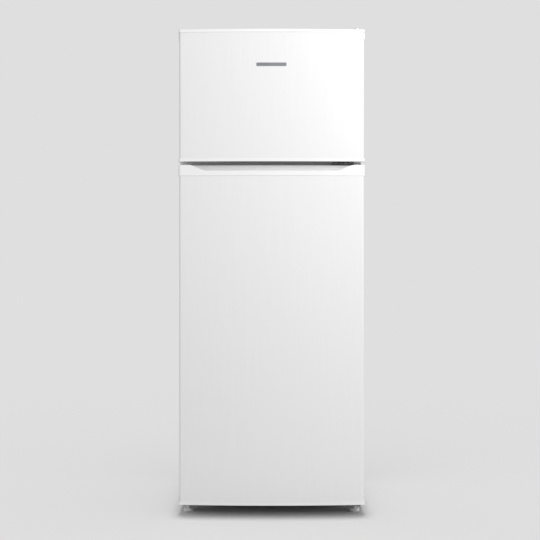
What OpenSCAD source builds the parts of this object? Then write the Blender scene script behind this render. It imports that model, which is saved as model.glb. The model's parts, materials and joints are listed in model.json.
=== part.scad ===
// Top-freezer refrigerator of the 55 cm wide class, with both doors hinged on the right.
// X runs to the right seen from the front, the doors face -Y and Z is up.
// The origin is on the floor, in the middle of the footprint.

/* [Cabinet] */
// Width across the end caps of the doors
width = 550; // [546:1:556]
// Depth from the front of the doors to the back of the condenser
depth = 555; // [553:1:565]
// Height of the cabinet's top sheet above the floor
cabinet_top = 1431.5; // [1425:0.5:1450]
// Height at which the cabinet's sides end above the floor
cabinet_bottom = 30; // [29:1:31]
// Distance from the cabinet's front face to the front of the doors at mid width
front_setback = 67.5; // [67:0.5:69]
// Thickness of the painted steel sheet
sheet = 1; // [0.8:0.1:1.1]
// Thickness of the vacuum-formed liners
liner_t = 1.5; // [1.2:0.1:1.6]
// Radius of the inner corners of the compartments
room_r = 14; // [10:1:16]

/* [Compartments] */
// Half of the inner width of both compartments
room_half = 228; // [226:1:229]
// Height of the fridge compartment's floor
fridge_floor = 85; // [84:1:87]
// Height of the fridge compartment's ceiling
fridge_ceiling = 1008; // [1006:1:1009]
// Height of the freezer compartment's floor
freezer_floor = 1066; // [1065:1:1068]
// Height of the freezer compartment's ceiling
freezer_ceiling = 1369; // [1362:1:1371]
// Place of the compartments' back wall
room_back = 195; // [192:1:195]
// Place of the front of the step over the compressor
step_front = 55; // [54:1:57]
// Height of the step over the compressor
step_top = 270; // [269:1:272]
// Height of the lowest glass shelf, which is the lid of the crisper drawer
crisper_lid_z = 300; // [299:1:302]
// Distance between the glass shelves
shelf_pitch = 170; // [160:1:175]
// Height of the wire shelf in the freezer
wire_shelf_z = 1205; // [1195:1:1215]

/* [Doors] */
// Height of the underside of the fridge door
fridge_door_z = 32; // [32:0.5:33]
// Height of the freezer door
freezer_door_h = 388; // [386:0.5:388.5]
// Gap between the two doors
door_gap = 10.5; // [10:0.5:11]
// How far the front of a door bows out at mid width
door_bow = 13; // [11:0.5:14]
// Thickness of a door at its side edges, without its gasket
door_edge = 43; // [42.5:0.5:43.5]
// How far the end caps stand proud of the door's sheet at each side
cap_proud = 2.5; // [2:0.1:3]
// How far the ridge on a door's liner reaches into the compartment
ridge_h = 31.5; // [28:0.5:32]
// Width of that ridge
ridge_w = 24; // [22:1:26]

/* [Handle] */
// Half of the width over which the pull scoop is at its full depth
scoop_half = 190; // [170:1:192]
// Length of the smooth ramp at each end of the scoop
scoop_ramp = 54; // [40:1:54]
// How far the scoop's front lip lies below the top of the door
scoop_drop = 17; // [14:0.5:19]
// Depth of the finger trough, front to back
scoop_deep = 21; // [19:0.5:22]
// Height of the handle cap's visible band
handle_band = 31.5; // [30:0.5:34]

/* [Hinges] */
// Distance of the hinge axis from the side of the doors
axis_from_side = 23; // [22.5:0.5:23.5]
// Distance of the hinge axis from the doors' back face
axis_from_back = 21.5; // [21:0.5:22]
// Diameter of the hinge pins
pin_d = 8; // [7:0.5:8]
// Radial running clearance of the pins, shafts and screws
fit = 0.05; // [0.03:0.01:0.08]

/* [Base] */
// Distance of the feet from the middle of the cabinet
foot_x = 249; // [247:1:250]
// Diameter of a foot
foot_d = 28; // [26:1:32]
// Diameter of a rear roller
roller_d = 30; // [28:1:30]
// Height of the compressor room's roof
room_roof = 230; // [228:1:231]

/* [Condenser] */
// Number of straight passes of the condenser's tube
passes = 20; // [16:2:20]
// Distance between the passes
pass_pitch = 52; // [48:1:53]
// Diameter of the condenser's tube
tube_d = 4.8; // [4.6:0.1:5]
// Number of wires on each side of the tube
wires = 23; // [15:2:27]

/* [Hidden] */
$fn = 64;

// Planes and outlines of the cabinet
cap_half = width / 2;
side = cap_half - cap_proud;
door_front = -depth / 2;
wire_back = depth / 2;
cab_front = door_front + front_setback;
cab_back = 245;
front_frame = 6;
lip = 1.5;
foam_bottom = 47.2;
pan_t = 1.2;
room_front = 95;
seam = 0.1;
evaporator_t = 1.5;
evaporator_y0 = -60;
evaporator_y1 = 165;
back_evaporator_half = 170;
back_evaporator_z = [640, 930];

// Holes that the drain tube and the suction line pass through
drain_x = 0;
drain_y = 178;
drain_d = 14;
suction_x = 140;
suction_y = 238;
suction_d = 8;

// Outline of the doors: the bow is an arc about a point behind the cabinet
bow_r = (cap_half * cap_half + door_bow * door_bow) / (2 * door_bow);
bow_y = door_front + bow_r;
door_back = door_front + door_bow + door_edge;
panel_inset = 1;
panel_t = 0.8;
cap_corner = 9;
cap_plate = 2.5;
foam_back = door_back - liner_t;
return_w = 12;
fridge_door_top = cabinet_top - 1.5 - freezer_door_h - door_gap;
freezer_door_z = fridge_door_top + door_gap;
freezer_door_top = cabinet_top - 1.5;
top_lip = 8.5;
bottom_lip = 8.5;
middle_lip = 9;
cap_flange = 28;
gasket_w = 18;
gasket_gap = 0.35;
ridge_out = room_half - 9;
ridge_in = ridge_out - ridge_w;
ridge_y = door_back + ridge_h;
recess_y = door_back;
recess_r = 6;

// Hinge axis
axis_x = cap_half - axis_from_side;
axis_y = door_back - axis_from_back;
pin_r = pin_d / 2;
bush_r = 6;
bush_flange_r = 9;
bush_deep = 16;
plate_t = 4;
top_plate_t = 3;
bush_gap = 0.5;
gap_middle = fridge_door_top + door_gap / 2;
top_screws = [[axis_x - 64, cab_front + 20], [axis_x - 64, cab_front + 52],
              [axis_x - 8, cab_front + 52]];
middle_screws = [for (x = [-58, -32], z = [-6, 6]) [axis_x + x, gap_middle + z]];

// Scoop in the handle cap
tub_deep = 10;
lip_wall = 4;
tub_wall = 2;
tub_half = scoop_half + 26;
scoop_inset = lip_wall + scoop_deep + tub_wall;

// Screws: diameter of the shank, diameter of the head and height of the head
large_screw = [5, 10, 3.5];
small_screw = [3.5, 6, 2.2];

// Base, feet and rollers
foot_y = cab_front + 15;
stem_d = 8;
bracket_screw_x = [-32, 12];
bracket_screw_y = cab_front + 48;
base_screws = [for (s = [-1, 1], x = bracket_screw_x) [s * (foot_x + x), bracket_screw_y]];
roller_x = 235;
roller_y = 205;
roller_w = 14;
axle_d = 5;
ear_t = 2;
tray_z = 32;
tray_t = 1.5;

// Compressor
pump_x = 40;
pump_y = 165;
pump_r = 65;
pump_foot_z = 48;
pump_top = 200;
pump_feet = [for (x = [-72, 72], y = [-44, 44]) [pump_x + x, pump_y + y]];

// Stubs of the compressor, each as its place in Y and Z
port_x = pump_x - pump_r - 14;
suction_port = [pump_y - 12, 150];
discharge_port = [pump_y + 20, 96];

// Refrigerant lines and filter drier
drier_x = -130;
drier_y = 205;
discharge_x = -230;
discharge_y = 258;
liquid_x = -170;
line_top = 250;
capillary_d = 3;

// Condenser
wire_d = 1.4;
tube_y = wire_back - wire_d - tube_d / 2 - 0.02;
pass_half = 205;
first_pass = 305;
wire_pitch = 17.5;

// Fittings in the fridge compartment
shelf_front = cab_front + 92;
shelf_back = 188;
ledge_back = shelf_back - 6;
shelf_z = [for (i = [0:3]) crisper_lid_z + i * shelf_pitch];
glass_t = 4;
ledge_w = 9;
ledge_h = 6;
housing_y = -100;
housing_z = fridge_ceiling - 40;
housing_half = 85;
knob_z = fridge_ceiling - 21;
knob_d = 34;
shaft_d = 6;
housing_back = 20;
cover_half = 45;
cover_back = 80;
switch_x = 115;
switch_z = fridge_ceiling - 16;
switch_front = -178;
plunger_d = 6;
drawer_half = 215;
drawer_r = 12;
drawer_t = 2.5;
drawer_top = 291;
drawer_back = step_front - 8;
fridge_rack_z = [fridge_floor + 38, 400, 610, 800];
fridge_rack_h = [130, 82, 82, 62];
freezer_rack_z = [freezer_floor + 38, freezer_floor + 164];
freezer_rack_h = [80, 62];
rack_t = 2.5;
rack_back = 0.3;
rack_reach = 90.5;

// Points of a circular arc from angle a to angle b, both in degrees
function arc(x, y, r, a, b, n) =
    [for (i = [0:n]) let (t = a + (b - a) * i / n) [x + r * cos(t), y + r * sin(t)]];

// Points of a rectangle with rounded corners
function rounded(x0, y0, x1, y1, r) = concat(
    arc(x1 - r, y0 + r, r, -90, 0, 6), arc(x1 - r, y1 - r, r, 0, 90, 6),
    arc(x0 + r, y1 - r, r, 90, 180, 6), arc(x0 + r, y0 + r, r, 180, 270, 6));

// Points of a door seen from above, with its front set back by inset
function door_plan(half, inset, corner, back) =
    let (r = bow_r - inset,
         x = half - corner,
         y = bow_y - sqrt(pow(r - corner, 2) - x * x),
         lean = asin(x / (r - corner)))
    concat(arc(-x, y, corner, 180, 270 - lean, 6),
           [for (i = [1:31]) let (t = 270 - lean + 2 * lean * i / 32)
               [r * cos(t), bow_y + r * sin(t)]],
           arc(x, y, corner, 270 + lean, 360, 6),
           [[half, back], [-half, back]]);

// A block between two corners
module block(a, b) {
    translate(a) cube(b - a);
}

// A flat shape in X and Z, given length along Y
module along_y(y0, y1) {
    translate([0, y1, 0]) rotate([90, 0, 0]) linear_extrude(y1 - y0) children();
}

// A flat shape in Y and Z, given length along X
module along_x(x0, x1) {
    translate([x0, 0, 0]) rotate([90, 0, 90]) linear_extrude(x1 - x0) children();
}

// A flat shape in X and Y, given height
module along_z(z0, z1) {
    translate([0, 0, z0]) linear_extrude(z1 - z0) children();
}

// A round bar along X, Y or Z
module bar_x(x0, x1, y, z, d) {
    translate([x0, y, z]) rotate([0, 90, 0]) cylinder(h = x1 - x0, d = d);
}

module bar_y(y0, y1, x, z, d) {
    translate([x, y1, z]) rotate([90, 0, 0]) cylinder(h = y1 - y0, d = d);
}

module bar_z(z0, z1, x, y, d) {
    translate([x, y, z0]) cylinder(h = z1 - z0, d = d);
}

// A bent pipe through a list of points, with a slightly thicker ball at each elbow
module pipe(points, d) {
    for (i = [0:len(points) - 2]) {
        run = points[i + 1] - points[i];
        translate(points[i])
            rotate([0, acos(run.z / norm(run)), atan2(run.y, run.x)])
            cylinder(h = norm(run), d = d, $fn = 32);
    }
    for (i = [1:len(points) - 2]) translate(points[i]) sphere(d = 1.08 * d, $fn = 32);
}

// The inside of a compartment, grown outwards, with every back and side corner rounded
module room(z0, z1, grow) {
    r = room_r + grow;
    x = room_half + grow;
    intersection() {
        along_y(cab_front - 1, room_back + grow)
            polygon(rounded(-x, z0 - grow, x, z1 + grow, r));
        along_x(-x - 1, x + 1)
            polygon(rounded(cab_front - 60, z0 - grow, room_back + grow, z1 + grow, r));
        along_z(z0 - grow - 1, z1 + grow + 1)
            polygon(rounded(-x, cab_front - 60, x, room_back + grow, r));
    }
}

// The step that leaves room for the compressor, with its top edge rounded
module step(grow) {
    r = 20 - grow;
    y = step_front + grow;
    z = step_top - grow;
    along_x(-room_half - 5, room_half + 5)
        polygon(concat(arc(y + r, z - r, r, 180, 90, 6), [[cab_back, z], [cab_back, 0], [y, 0]]));
}

module freezer_room(grow) {
    room(freezer_floor, freezer_ceiling, grow);
}

module fridge_room(grow) {
    difference() {
        room(fridge_floor, fridge_ceiling, grow);
        step(grow);
    }
}

// The opening of a compartment in the cabinet's front face, grown outwards
module doorway(z0, z1, grow) {
    x = room_half + grow;
    polygon(rounded(-x, z0 - grow, x, z1 + grow, room_r + grow));
}

module outer_shell() {
    color("white") difference() {
        union() {
            along_y(cab_front, cab_back) difference() {
                polygon(concat(arc(side - 5, cabinet_top - 5, 5, 0, 90, 6),
                               arc(5 - side, cabinet_top - 5, 5, 90, 180, 6),
                               [[-side, cabinet_bottom], [side, cabinet_bottom]]));
                polygon([[side - sheet, 0], [side - sheet, cabinet_top - sheet - 4],
                         [side - sheet - 4, cabinet_top - sheet],
                         [4 + sheet - side, cabinet_top - sheet],
                         [sheet - side, cabinet_top - sheet - 4], [sheet - side, 0]]);
            }
            along_y(cab_front, cab_front + sheet)
                polygon([[-side + sheet, foam_bottom - pan_t], [side - sheet, foam_bottom - pan_t],
                         [side - sheet, cabinet_top - 5], [side - 5, cabinet_top - sheet],
                         [5 - side, cabinet_top - sheet], [sheet - side, cabinet_top - 5]]);
        }
        along_y(cab_front - 1, cab_front + 2) {
            doorway(fridge_floor, fridge_ceiling, front_frame);
            doorway(freezer_floor, freezer_ceiling, front_frame);
        }
        block([-room_half - front_frame, cab_front - 1, fridge_ceiling - 30],
              [room_half + front_frame, cab_front + 2, freezer_floor + 30]);
    }
}

module mullion_cover() {
    color("white") along_y(cab_front, cab_front + sheet) difference() {
        polygon([[-room_half - front_frame, fridge_ceiling - 30],
                 [room_half + front_frame, fridge_ceiling - 30],
                 [room_half + front_frame, freezer_floor + 30],
                 [-room_half - front_frame, freezer_floor + 30]]);
        doorway(fridge_floor, fridge_ceiling, front_frame);
        doorway(freezer_floor, freezer_ceiling, front_frame);
    }
}

module back_panel() {
    x = side - sheet;
    z = cabinet_top - sheet;
    color("gainsboro") along_y(cab_back - sheet, cab_back)
        polygon([[-x, room_roof], [x, room_roof], [x, z - 4], [x - 4, z], [4 - x, z], [-x, z - 4]]);
}

// One folded sheet: the floor, the wall and the roof of the compressor room
module under_panel() {
    floor_z = foam_bottom - pan_t;
    color("silver") difference() {
        along_x(-side + sheet, side - sheet)
            polygon([[cab_front + sheet, floor_z], [room_front + pan_t, floor_z],
                     [room_front + pan_t, room_roof], [cab_back - sheet, room_roof],
                     [cab_back - sheet, room_roof + pan_t], [room_front, room_roof + pan_t],
                     [room_front, foam_bottom], [cab_front + sheet, foam_bottom]]);
        bar_z(room_roof - 1, room_roof + 3, drain_x, drain_y, drain_d + 0.2);
        bar_z(room_roof - 1, room_roof + 3, suction_x, suction_y, suction_d + 0.2);
    }
}

// The evaporators are plates against the outside of the liners
module freezer_evaporator_form(y0, y1, grow) {
    x = room_half + grow;
    along_y(y0, y1)
        polygon(rounded(-x, freezer_floor - grow, x, freezer_ceiling + grow, room_r + grow));
}

module fridge_evaporator_form() {
    y = room_back + liner_t;
    block([-back_evaporator_half, y, back_evaporator_z[0]],
          [back_evaporator_half, y + evaporator_t, back_evaporator_z[1]]);
}

module evaporators() {
    color("silver") {
        difference() {
            freezer_evaporator_form(evaporator_y0, evaporator_y1, liner_t + evaporator_t);
            freezer_evaporator_form(evaporator_y0 - 1, evaporator_y1 + 1, liner_t);
        }
        fridge_evaporator_form();
    }
}

// The foam, block by block: four at the sides, then the back, the roof, the wall between the
// compartments, the floor, and the front and the top of the step over the compressor
module insulation_foam() {
    x = side - sheet;
    wall = room_half + liner_t;
    y0 = cab_front + lip;
    y1 = cab_back - sheet;
    back = room_back + liner_t;
    z0 = room_roof + pan_t;
    z1 = cabinet_top - sheet - 5;
    step_y = step_front + liner_t;
    step_z = step_top - liner_t;
    r = 20 - liner_t;
    color("khaki") difference() {
        union() {
            for (s = [-1, 1]) {
                inner = s * (wall + seam / 2);
                outer = s * x;
                block([min(inner, outer), y0, foam_bottom], [max(inner, outer), room_front, z0 - seam]);
                block([min(inner, outer), y0, z0], [max(inner, outer), y1, z1]);
            }
            block([-wall, back + seam, z0], [wall, y1, z1]);
            block([-wall, y0, freezer_ceiling + liner_t], [wall, back, z1]);
            block([-wall, y0, fridge_ceiling + liner_t], [wall, back, freezer_floor - liner_t]);
            block([-wall, y0, foam_bottom], [wall, room_front, fridge_floor - liner_t]);
            block([-wall, step_y, fridge_floor - liner_t + seam], [wall, room_front, z0 - seam]);
            along_x(-wall, wall)
                polygon(concat(arc(step_y + r, step_z - r, r, 180, 90, 6),
                               [[back, step_z], [back, z0], [step_y, z0]]));
        }
        freezer_evaporator_form(evaporator_y0, evaporator_y1, liner_t + evaporator_t);
        fridge_evaporator_form();
        bar_z(room_roof, step_top, drain_x, drain_y, drain_d);
    }
}

// A ledge along each side wall, on which a shelf rests
module ledges(top) {
    for (s = [-1, 1]) {
        inner = s * (room_half - ledge_w);
        outer = s * (room_half + liner_t / 2);
        block([min(inner, outer), shelf_front, top - ledge_h],
              [max(inner, outer), ledge_back, top]);
    }
}

module freezer_liner() {
    color("white") {
        difference() {
            freezer_room(liner_t);
            freezer_room(0);
            block([-300, cab_front - 5, 900], [300, cab_front, 1500]);
        }
        along_y(cab_front, cab_front + lip) difference() {
            doorway(freezer_floor, freezer_ceiling, front_frame);
            doorway(freezer_floor, freezer_ceiling, 0);
        }
        ledges(wire_shelf_z);
    }
}

module fridge_liner() {
    color("white") difference() {
        union() {
            difference() {
                fridge_room(liner_t);
                fridge_room(0);
                block([-300, cab_front - 5, 0], [300, cab_front, 1100]);
            }
            along_y(cab_front, cab_front + lip) difference() {
                doorway(fridge_floor, fridge_ceiling, front_frame);
                doorway(fridge_floor, fridge_ceiling, 0);
            }
            for (z = shelf_z) ledges(z);
        }
        bar_z(step_top - 5, step_top + 5, drain_x, drain_y, drain_d);
    }
}

module drain_tube() {
    color("lightgray") difference() {
        bar_z(room_roof - 12, step_top, drain_x, drain_y, drain_d);
        bar_z(room_roof - 13, step_top + 1, drain_x, drain_y, drain_d - 4);
    }
}

// ---- Base

// A channel under the front of the cabinet, open at the top
module base_rail() {
    color("dimgray") difference() {
        along_x(-side + 8, side - 8)
            polygon([[cab_front + 4, cabinet_bottom], [cab_front + 60, cabinet_bottom],
                     [cab_front + 60, foam_bottom - pan_t],
                     [cab_front + 58.5, foam_bottom - pan_t],
                     [cab_front + 58.5, cabinet_bottom + 1.5],
                     [cab_front + 5.5, cabinet_bottom + 1.5],
                     [cab_front + 5.5, foam_bottom - pan_t],
                     [cab_front + 4, foam_bottom - pan_t]]);
        for (s = [-1, 1]) bar_z(cabinet_bottom - 1, cabinet_bottom + 3, s * foot_x, foot_y, 12);
    }
}

// Plate with the threaded hole of one front foot and a lip bent down beside the foot
module foot_plate() {
    block([foot_x - 30, cab_front + 4, cabinet_bottom - 15],
          [foot_x - 16, cab_front + 7, cabinet_bottom - plate_t]);
    difference() {
        block([foot_x - 47, cab_front + 4, cabinet_bottom - plate_t],
              [foot_x + 22, cab_front + 60, cabinet_bottom]);
        bar_z(0, cabinet_bottom + 1, foot_x, foot_y, stem_d + 2 * fit);
        for (x = bracket_screw_x)
            bar_z(0, cabinet_bottom + 1, foot_x + x, bracket_screw_y, large_screw[0]);
    }
}

module left_foot_bracket() {
    color("dimgray") mirror([1, 0, 0]) foot_plate();
}

module bottom_hinge() {
    color("dimgray") {
        foot_plate();
        hinge_nose(cabinet_bottom - plate_t, cabinet_bottom, cab_front + 4);
        bar_z(cabinet_bottom, fridge_door_z + bush_deep, axis_x, axis_y, pin_d);
    }
}

// The end of a hinge plate, round about the axis
module hinge_nose(z0, z1, y1) {
    block([axis_x - 12, axis_y, z0], [axis_x + 12, y1, z1]);
    bar_z(z0, z1, axis_x, axis_y, 24);
}

module front_foot(x) {
    color("lightgray") translate([x, foot_y, 0]) rotate_extrude()
        polygon([[0, 0], [foot_d / 2 - 1.5, 0], [foot_d / 2, 1.5], [foot_d / 2, 8],
                 [foot_d / 2 - 3, 10], [stem_d / 2 + 2.5, 10], [stem_d / 2 + 2.5, 14],
                 [stem_d / 2, 14], [stem_d / 2, 43], [0, 43]]);
}

module front_left_foot() {
    front_foot(-foot_x);
}

module front_right_foot() {
    front_foot(foot_x);
}

// Tray across the back, with two ears at each end for the axle of a roller
module compressor_tray() {
    color("dimgray") difference() {
        union() {
            block([-side + 3, room_front + 2, tray_z], [side - 3, cab_back - 2, tray_z + tray_t]);
            block([-side + 3, room_front + 2, tray_z], [side - 3, room_front + 3.5, tray_z + 12]);
            block([-side + 3, cab_back - 3.5, tray_z], [side - 3, cab_back - 2, tray_z + 12]);
            for (s = [-1, 1], e = [-1, 1]) {
                x = s * roller_x + e * (roller_w / 2 + 1 + ear_t / 2);
                along_x(x - ear_t / 2, x + ear_t / 2)
                    polygon(concat([[roller_y + 14, tray_z], [roller_y - 14, tray_z]],
                                   arc(roller_y, roller_d / 2, 7, 200, 340, 8)));
            }
        }
        for (s = [-1, 1])
            bar_x(s * roller_x - 14, s * roller_x + 14, roller_y, roller_d / 2, axle_d);
        for (p = pump_feet) bar_z(tray_z - 1, tray_z + 3, p.x, p.y, 7);
    }
}

module roller_axles() {
    color("silver") for (s = [-1, 1])
        bar_x(s * roller_x - 13, s * roller_x + 13, roller_y, roller_d / 2, axle_d);
}

module rear_roller(x) {
    r = roller_d / 2;
    color("dimgray") translate([x, roller_y, r]) rotate([0, 90, 0]) rotate_extrude()
        polygon([[axle_d / 2 + fit, -roller_w / 2], [r - 6, -roller_w / 2], [r - 5, -4],
                 [r - 3, -4], [r - 3, -roller_w / 2], [r - 1, -roller_w / 2],
                 [r, 1 - roller_w / 2], [r, roller_w / 2 - 1], [r - 1, roller_w / 2],
                 [r - 3, roller_w / 2], [r - 3, 4], [r - 5, 4], [r - 6, roller_w / 2],
                 [axle_d / 2 + fit, roller_w / 2]]);
}

module rear_left_roller() {
    rear_roller(-roller_x);
}

module rear_right_roller() {
    rear_roller(roller_x);
}

// ---- Cooling circuit

// A welded can of two halves on a plate with four feet
module compressor() {
    weld_z = 118;
    color("black") difference() {
        union() {
            translate([pump_x, pump_y, 0]) rotate_extrude()
                polygon(concat([[0, pump_foot_z + 4]], arc(pump_r - 22, pump_foot_z + 24, 20, -90, 0, 6),
                               [[pump_r - 2, weld_z], [pump_r + 3, weld_z],
                                [pump_r + 3, weld_z + 4], [pump_r, weld_z + 4]],
                               arc(pump_r - 34, pump_top - 34, 34, 0, 90, 8),
                               [[0, pump_top]]));
            block([pump_x - 84, pump_y - 54, pump_foot_z],
                  [pump_x + 84, pump_y + 54, pump_foot_z + 4]);
            bar_x(port_x, port_x + 20, discharge_port.x, discharge_port.y, 8);
            bar_x(port_x, port_x + 20, suction_port.x, suction_port.y, 10);
        }
        for (p = pump_feet) bar_z(pump_foot_z - 1, pump_foot_z + 5, p.x, p.y, 14);
    }
}

module compressor_grommets() {
    color("dimgray") for (p = pump_feet) translate([p.x, p.y, 0]) rotate_extrude()
        polygon([[3.5, tray_z + tray_t], [11, tray_z + tray_t], [11, pump_foot_z], [7, pump_foot_z],
                 [7, pump_foot_z + 4], [11, pump_foot_z + 4], [11, pump_foot_z + 8],
                 [3.5, pump_foot_z + 8]]);
}

// The starter's cover clips on the side of the can and holds the cord's gland
module starter_cover() {
    color("black") difference() {
        union() {
            block([pump_x + 50, pump_y - 26, 74], [pump_x + 98, pump_y + 26, 116]);
            bar_y(pump_y + 26, pump_y + 40, pump_x + 84, 90, 13);
        }
        bar_z(70, 120, pump_x, pump_y, 2 * pump_r - 4);
        block([pump_x + 50, pump_y - 23, 77], [pump_x + 95, pump_y + 23, 113]);
        bar_y(pump_y + 20, pump_y + 41, pump_x + 84, 90, 7.5);
    }
}

module drip_tray() {
    z = pump_top;
    color("whitesmoke") difference() {
        along_z(z, z + 22) polygon(rounded(-38, 108, 112, 226, 12));
        along_z(z + 2, z + 23) polygon(rounded(-36, 110, 110, 224, 10));
    }
}

module filter_drier() {
    color("peru") translate([drier_x, drier_y, 0]) rotate_extrude()
        polygon([[0, 62], [3.2, 62], [3.2, 72], [9.5, 80], [9.5, 170], [3.2, 178], [3.2, 188],
                 [0, 188]]);
}

// Suction line from the evaporators, discharge line, liquid line and capillary tube
module refrigerant_lines() {
    suction_z = suction_port.y;
    discharge_z = discharge_port.y;
    color("peru") {
        pipe([[port_x, suction_port.x, suction_z], [-80, suction_port.x, suction_z],
              [-80, suction_y, suction_z], [suction_x, suction_y, suction_z],
              [suction_x, suction_y, room_roof + pan_t]], suction_d);
        pipe([[port_x, discharge_port.x, discharge_z], [-60, discharge_port.x, discharge_z],
              [-60, discharge_y, discharge_z], [discharge_x, discharge_y, discharge_z],
              [discharge_x, tube_y, discharge_z], [discharge_x, tube_y, line_top]], tube_d);
        pipe([[drier_x, drier_y, 62], [drier_x, drier_y, 50], [drier_x, tube_y, 50],
              [liquid_x, tube_y, 50], [liquid_x, tube_y, line_top]], tube_d);
        pipe([[drier_x, drier_y, 188], [drier_x, drier_y, 198], [drier_x, drier_y + 15, 198],
              [drier_x, drier_y + 15, room_roof]], capillary_d);
    }
}

// One serpentine, with its feed and its return brought down to the compressor room
module condenser_tube() {
    bend = pass_pitch / 2;
    color("dimgray") {
        for (i = [0:passes - 1]) {
            z = first_pass + i * pass_pitch;
            bar_x(-pass_half, pass_half, tube_y, z, tube_d);
            if (i < passes - 1) u_bend(i % 2 == 0 ? 1 : -1, z + bend, bend);
        }
        last = first_pass + (passes - 1) * pass_pitch;
        pipe([[-pass_half, tube_y, last], [discharge_x - bend, tube_y, last],
              [discharge_x - bend, tube_y, line_top + bend], [discharge_x, tube_y, line_top]], tube_d);
        pipe([[-pass_half, tube_y, first_pass], [-pass_half - 10, tube_y, first_pass],
              [-pass_half - 10, tube_y, line_top + 15], [liquid_x, tube_y, line_top]], tube_d);
    }
}

// A half ring that joins two passes at one end
module u_bend(end, z, r) {
    translate([end * pass_half, tube_y, z]) rotate([90, 0, 0]) rotate([0, 0, -90 * end])
        rotate_extrude(angle = 180) translate([r, 0]) circle(d = tube_d, $fn = 24);
}

module condenser_wires() {
    reach = tube_d / 2 + wire_d / 2 + 0.02;
    top = first_pass + (passes - 1) * pass_pitch + 12;
    color("dimgray") for (i = [0:wires - 1], s = [-1, 1])
        bar_z(first_pass - 12, top, (i - (wires - 1) / 2) * wire_pitch, tube_y + s * reach, wire_d);
}

// Plastic clips that hold the outermost parts of the serpentine off the back panel
module condenser_brackets() {
    color("dimgray") for (x = [-1, 1], i = [1, 9, 17]) {
        z = first_pass + i * pass_pitch;
        difference() {
            block([x * 208 - 6 - x * 6, cab_back, z - 9], [x * 208 + 6 - x * 6, tube_y + 3.5, z + 9]);
            bar_x(x * 202 - 20, x * 202 + 20, tube_y, z, tube_d);
        }
    }
}

// ---- Fittings in the compartments

// Control box under the ceiling, open at the top, with a hole for the knob's shaft
module thermostat_housing() {
    color("whitesmoke") difference() {
        along_x(-housing_half, housing_half)
            polygon([[housing_y, fridge_ceiling], [housing_y, housing_z + 8],
                     [housing_y + 8, housing_z], [housing_back, housing_z],
                     [housing_back, fridge_ceiling]]);
        block([-housing_half + 2, housing_y + 2, housing_z + 10],
              [housing_half - 2, housing_back - 2, fridge_ceiling + 1]);
        bar_y(housing_y - 1, housing_y + 3, 0, knob_z, shaft_d + 2 * fit);
    }
}

module thermostat_knob() {
    color("lightgray") {
        bar_y(housing_y - 12, housing_y - bush_gap, 0, knob_z, knob_d);
        bar_y(housing_y - bush_gap, housing_y + 8, 0, knob_z, shaft_d);
        block([-2.5, housing_y - 16, knob_z - 15], [2.5, housing_y - 12, knob_z + 15]);
    }
}

module lamp() {
    color("ivory") translate([0, 24, fridge_ceiling - 18]) rotate([-90, 0, 0]) rotate_extrude()
        polygon(concat([[0, 0], [7, 0], [7, 12]], arc(0, 26, 11, -35, 90, 10)));
}

module light_cover() {
    color("aliceblue") difference() {
        along_z(housing_z + 4, fridge_ceiling)
            polygon(rounded(-cover_half, housing_back, cover_half, cover_back, 6));
        along_z(housing_z + 6, fridge_ceiling + 1)
            polygon(rounded(2 - cover_half, housing_back - 10, cover_half - 2, cover_back - 2, 4));
    }
}

module switch_housing() {
    color("whitesmoke") difference() {
        block([switch_x - 14, switch_front, fridge_ceiling - 26],
              [switch_x + 14, switch_front + 46, fridge_ceiling]);
        bar_y(switch_front - 1, switch_front + 33, switch_x, switch_z, plunger_d + 2 * fit);
    }
}

module light_switch() {
    color("white") {
        bar_y(ridge_y + 1.4, switch_front + 26, switch_x, switch_z, plunger_d);
        translate([switch_x, ridge_y + 1.4, switch_z]) rotate([-90, 0, 0])
            translate([0, 0, -1]) cylinder(h = 1, d1 = 4, d2 = plunger_d);
    }
}

module glass_shelves() {
    color("lightcyan") for (z = shelf_z)
        block([4 - room_half, shelf_front + 4, z], [room_half - 4, shelf_back - 4, z + glass_t]);
}

// A trim clipped over the front edge and another over the back edge of each shelf
module shelf_trims() {
    color("white") for (z = shelf_z) {
        difference() {
            block([4 - room_half, shelf_front, z - 3], [room_half - 4, shelf_front + 14, z + 8]);
            block([3 - room_half, shelf_front + 4, z], [room_half - 3, shelf_front + 15, z + 4]);
            ledges(z);
        }
        difference() {
            block([4 - room_half, shelf_back - 12, z - 3], [room_half - 4, shelf_back, z + 12]);
            block([3 - room_half, shelf_back - 13, z], [room_half - 3, shelf_back - 4, z + 4]);
            ledges(z);
        }
    }
}

module freezer_shelf() {
    rod = 5;
    wire = 3;
    wire_step = 29;
    color("white") {
        for (y = [shelf_front + 4, 30, shelf_back - 8])
            bar_x(4 - room_half, room_half - 4, y, wire_shelf_z + rod / 2, rod);
        for (i = [-7:7])
            bar_y(shelf_front + 2, shelf_back - 6, i * wire_step, wire_shelf_z + rod + wire / 2 - 0.5,
                  wire);
    }
}

// Tub that slides on the compartment's floor in front of the step
module crisper_drawer() {
    z0 = fridge_floor + 0.6;
    x = drawer_half - drawer_t;
    color("lightblue") difference() {
        along_z(z0, drawer_top)
            polygon(rounded(-drawer_half, shelf_front, drawer_half, drawer_back, drawer_r));
        along_z(z0 + drawer_t, drawer_top + 1)
            polygon(rounded(-x, shelf_front + drawer_t, x, drawer_back - drawer_t,
                            drawer_r - drawer_t));
        block([-70, shelf_front - 1, drawer_top - 22], [70, shelf_front + 4, drawer_top + 1]);
    }
}

// ---- Hinges

module top_hinge() {
    z0 = cabinet_top;
    z1 = cabinet_top + top_plate_t;
    color("silver") difference() {
        union() {
            block([axis_x - 76, cab_front + 6, z0], [axis_x + 12, cab_front + 66, z1]);
            hinge_nose(z0, z1, cab_front + 8);
            bar_z(freezer_door_top - bush_deep, z0, axis_x, axis_y, pin_d);
        }
        for (p = top_screws) bar_z(z0 - 1, z1 + 1, p.x, p.y, large_screw[0]);
    }
}

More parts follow.
